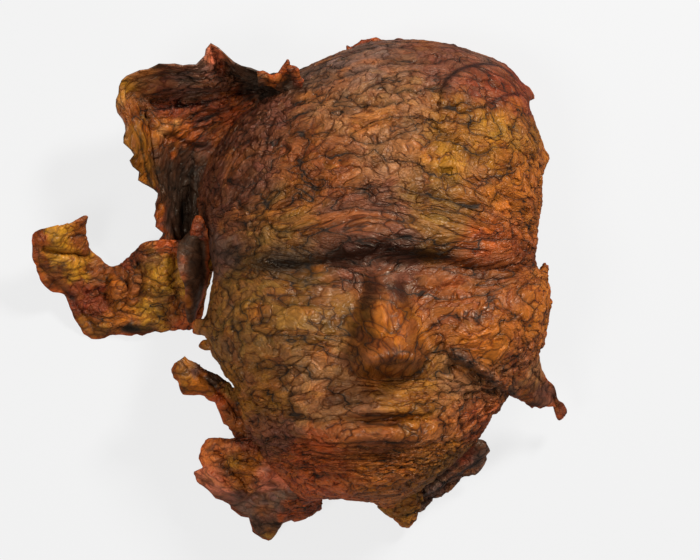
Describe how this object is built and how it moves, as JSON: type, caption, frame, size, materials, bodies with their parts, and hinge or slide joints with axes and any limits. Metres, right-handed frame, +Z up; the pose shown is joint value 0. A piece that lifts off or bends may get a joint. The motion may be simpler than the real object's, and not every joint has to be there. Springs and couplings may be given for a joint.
{
  "type": "kelp mask",
  "caption": "Face mask formed from a torn sheet of dried kelp, lying face up on its rim, open and hollow behind.",
  "frame": {"origin": "on the floor under the middle of the mask's bounding box, with the mask lying face up", "axes": "+Z up out of the face, +Y to the crown of the head, +X to the right of a viewer who looks at the face"},
  "size_m": [0.2731, 0.2568, 0.1147],
  "materials": {
    "dried_kelp": "semi-gloss, wrinkled"
  },
  "bodies": {
    "root": {"kelp_mask": "dried_kelp"}
  },
  "joints": []
}
